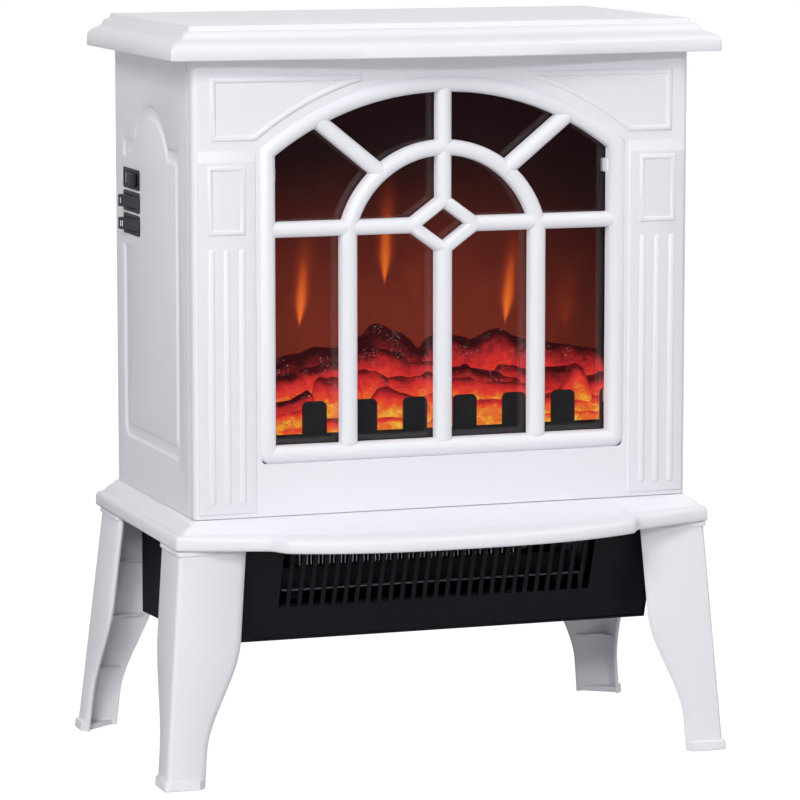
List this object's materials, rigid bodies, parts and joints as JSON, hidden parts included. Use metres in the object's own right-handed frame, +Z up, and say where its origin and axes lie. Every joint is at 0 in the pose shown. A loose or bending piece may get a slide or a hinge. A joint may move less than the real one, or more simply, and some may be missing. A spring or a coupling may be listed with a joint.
{
  "type": "electric fireplace",
  "caption": "Free-standing stove-style electric fireplace with an arched lattice window, flame effect, bowed hearth, splayed legs and a fan heater box under the hearth.",
  "frame": {"origin": "floor level, below the centre of the overall footprint, hearth and rear feet included", "axes": "+Z up, -Y out of the front where the window is, +X to the right of someone facing the window"},
  "size_m": [0.4366, 0.2804, 0.535],
  "materials": {
    "white_plastic": "smooth moulded white plastic with a low sheen",
    "black_steel": "satin black paint on folded sheet",
    "black_plastic": "dark grey moulded plastic",
    "rocker_plastic": "dark grey polished plastic",
    "window_glass": "clear tempered glass with a slight smoke tint",
    "zinc_steel": "zinc-plated sheet steel",
    "bright_aluminium": "bright aluminium",
    "brass": "plain brass",
    "ember": "translucent moulded resin that glows red and orange",
    "flame_film": "printed film that glows dark red",
    "circuit_board": "green circuit board"
  },
  "bodies": {
    "stove": {"top_cap": "white_plastic", "front_panel": "white_plastic", "window_grille": "white_plastic", "left_side_panel": "white_plastic", "right_side_panel": "white_plastic", "rear_cover": "white_plastic", "base_plinth": "white_plastic", "front_left_leg": "white_plastic", "front_right_leg": "white_plastic", "rear_left_leg": "white_plastic", "rear_right_leg": "white_plastic", "glass_clip_upper_left": "white_plastic", "glass_clip_upper_right": "white_plastic", "glass_clip_lower_left": "white_plastic", "glass_clip_lower_right": "white_plastic", "heater_housing": "black_steel", "outlet_grille": "black_steel", "guard_bars": "black_steel", "firebox_floor": "black_steel", "firebox_left_wall": "black_steel", "firebox_right_wall": "black_steel", "firebox_roof": "black_steel", "firebox_back": "black_steel", "cord_gland": "black_plastic", "fan_bush": "black_plastic", "spindle_bush": "black_plastic", "terminal_block": "black_plastic", "ember_fence": "black_plastic", "flame_switch_body": "black_plastic", "low_heat_switch_body": "black_plastic", "high_heat_switch_body": "black_plastic", "glass_pane": "window_glass", "blower_scroll": "zinc_steel", "fan_motor": "zinc_steel", "flame_motor": "zinc_steel", "flame_motor_bracket": "zinc_steel", "spindle_bracket": "zinc_steel", "leg_screw_front_left": "zinc_steel", "leg_screw_front_right": "zinc_steel", "leg_screw_rear_left": "zinc_steel", "leg_screw_rear_right": "zinc_steel", "rear_screw_left_lower": "zinc_steel", "rear_screw_left_middle": "zinc_steel", "rear_screw_left_upper": "zinc_steel", "rear_screw_right_lower": "zinc_steel", "rear_screw_right_middle": "zinc_steel", "rear_screw_right_upper": "zinc_steel", "heating_element": "bright_aluminium", "thermal_cutout": "brass", "log_bed": "ember", "flame_screen": "flame_film", "ember_led_board": "circuit_board", "flame_led_board": "circuit_board"},
    "flame_switch_rocker": {"flame_rocker": "rocker_plastic"},
    "low_heat_switch_rocker": {"low_heat_rocker": "rocker_plastic"},
    "high_heat_switch_rocker": {"high_heat_rocker": "rocker_plastic"},
    "fan_rotor": {"fan_drum": "bright_aluminium"},
    "flame_shaft": {"flame_spindle": "bright_aluminium"}
  },
  "joints": [
    {"name": "flame_rock", "type": "hinge", "parent": "stove", "child": "flame_switch_rocker", "pos_m": [-0.18555, 0.07925, 0.4169], "axis": [0, 0, 1], "range_deg": [0, 24]},
    {"name": "low_heat_rock", "type": "hinge", "parent": "stove", "child": "low_heat_switch_rocker", "pos_m": [-0.18555, 0.07925, 0.4002], "axis": [0, 0, 1], "range_deg": [-24, 0]},
    {"name": "high_heat_rock", "type": "hinge", "parent": "stove", "child": "high_heat_switch_rocker", "pos_m": [-0.18555, 0.07925, 0.3835], "axis": [0, 0, 1], "range_deg": [-24, 0]},
    {"name": "fan_spin", "type": "hinge", "parent": "stove", "child": "fan_rotor", "pos_m": [0, 0.02225, 0.136], "axis": [1, 0, 0], "continuous": true},
    {"name": "flame_shaft_spin", "type": "hinge", "parent": "stove", "child": "flame_shaft", "pos_m": [0, 0.03425, 0.262], "axis": [1, 0, 0], "continuous": true}
  ]
}
